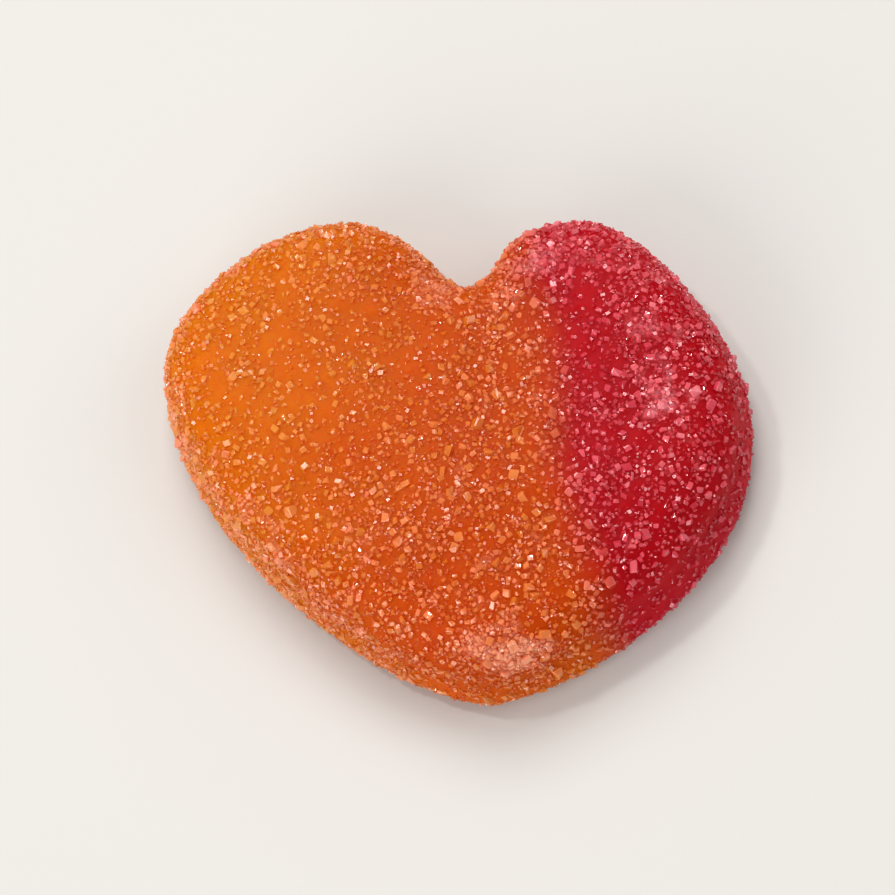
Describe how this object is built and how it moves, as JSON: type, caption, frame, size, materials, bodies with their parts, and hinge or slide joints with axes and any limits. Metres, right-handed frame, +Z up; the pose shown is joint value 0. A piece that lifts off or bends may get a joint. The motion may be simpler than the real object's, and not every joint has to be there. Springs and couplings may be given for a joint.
{
  "type": "gummy heart",
  "caption": "Sugar-sanded heart-shaped jelly sweet in blended orange and red, domed on the face and flat on the back.",
  "frame": {"origin": "on the surface the flat back rests on, at the middle of the outline's box seen from above", "axes": "+Z up out of the domed face, +Y from the tip towards the notch between the lobes, +X towards the red lobe"},
  "size_m": [0.041, 0.0346, 0.0096],
  "materials": {
    "gummy": "translucent jelly blended from orange to red, under a coat of granulated sugar",
    "sugar": "loose crystals of granulated sugar, tinted by the jelly under them, with glinting flat sides"
  },
  "bodies": {
    "root": {"gummy_heart": "gummy"}
  },
  "joints": []
}
